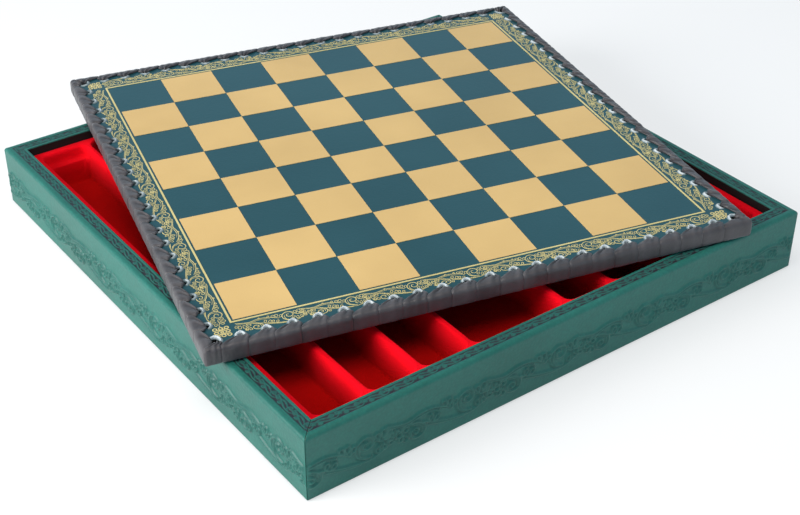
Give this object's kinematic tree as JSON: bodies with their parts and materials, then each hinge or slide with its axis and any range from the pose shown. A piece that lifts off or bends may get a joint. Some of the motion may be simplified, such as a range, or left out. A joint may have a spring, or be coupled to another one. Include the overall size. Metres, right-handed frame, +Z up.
{
  "type": "chess box",
  "caption": "Low square leatherette storage box with a red pocketed tray; its laced chess board lies turned on the rim as a lift-off lid.",
  "frame": {"origin": "middle of the felt underside of the box, on the surface that it stands on", "axes": "+X to the right along the front wall, +Y from the front wall to the back, +Z up"},
  "size_m": [0.391, 0.391, 0.0507],
  "materials": {
    "wall_wood": "plain wooden wall under the covering",
    "panel_wood": "plain bottom panel",
    "green_leatherette": "satin green leatherette with tooled scroll bands",
    "black_lining": "matt black lining",
    "red_flock": "red flocked tray",
    "base_felt": "dark felt",
    "board_wood": "plain board core",
    "playing_leatherette": "satin dark green printed leatherette",
    "backing_leatherette": "dark leatherette",
    "gold_foil": "satin gold stamped squares and lines",
    "lace_leather": "soft dark grey leather lace"
  },
  "bodies": {
    "box": {"front_wall": "wall_wood", "front_cover": "green_leatherette", "front_lining": "black_lining", "right_wall": "wall_wood", "right_cover": "green_leatherette", "right_lining": "black_lining", "back_wall": "wall_wood", "back_cover": "green_leatherette", "back_lining": "black_lining", "left_wall": "wall_wood", "left_cover": "green_leatherette", "left_lining": "black_lining", "bottom_panel": "panel_wood", "base_felt": "base_felt", "tray": "red_flock"},
    "lid": {"board_core": "board_wood", "playing_sheet": "playing_leatherette", "backing_sheet": "backing_leatherette", "gold_squares": "gold_foil", "gold_frame": "gold_foil", "front_lace": "lace_leather", "right_lace": "lace_leather", "back_lace": "lace_leather", "left_lace": "lace_leather"}
  },
  "joints": [
    {"name": "lid_lift", "type": "slide", "parent": "box", "child": "lid", "axis": [0, 0, 1], "range_m": [0, 0.15]}
  ]
}
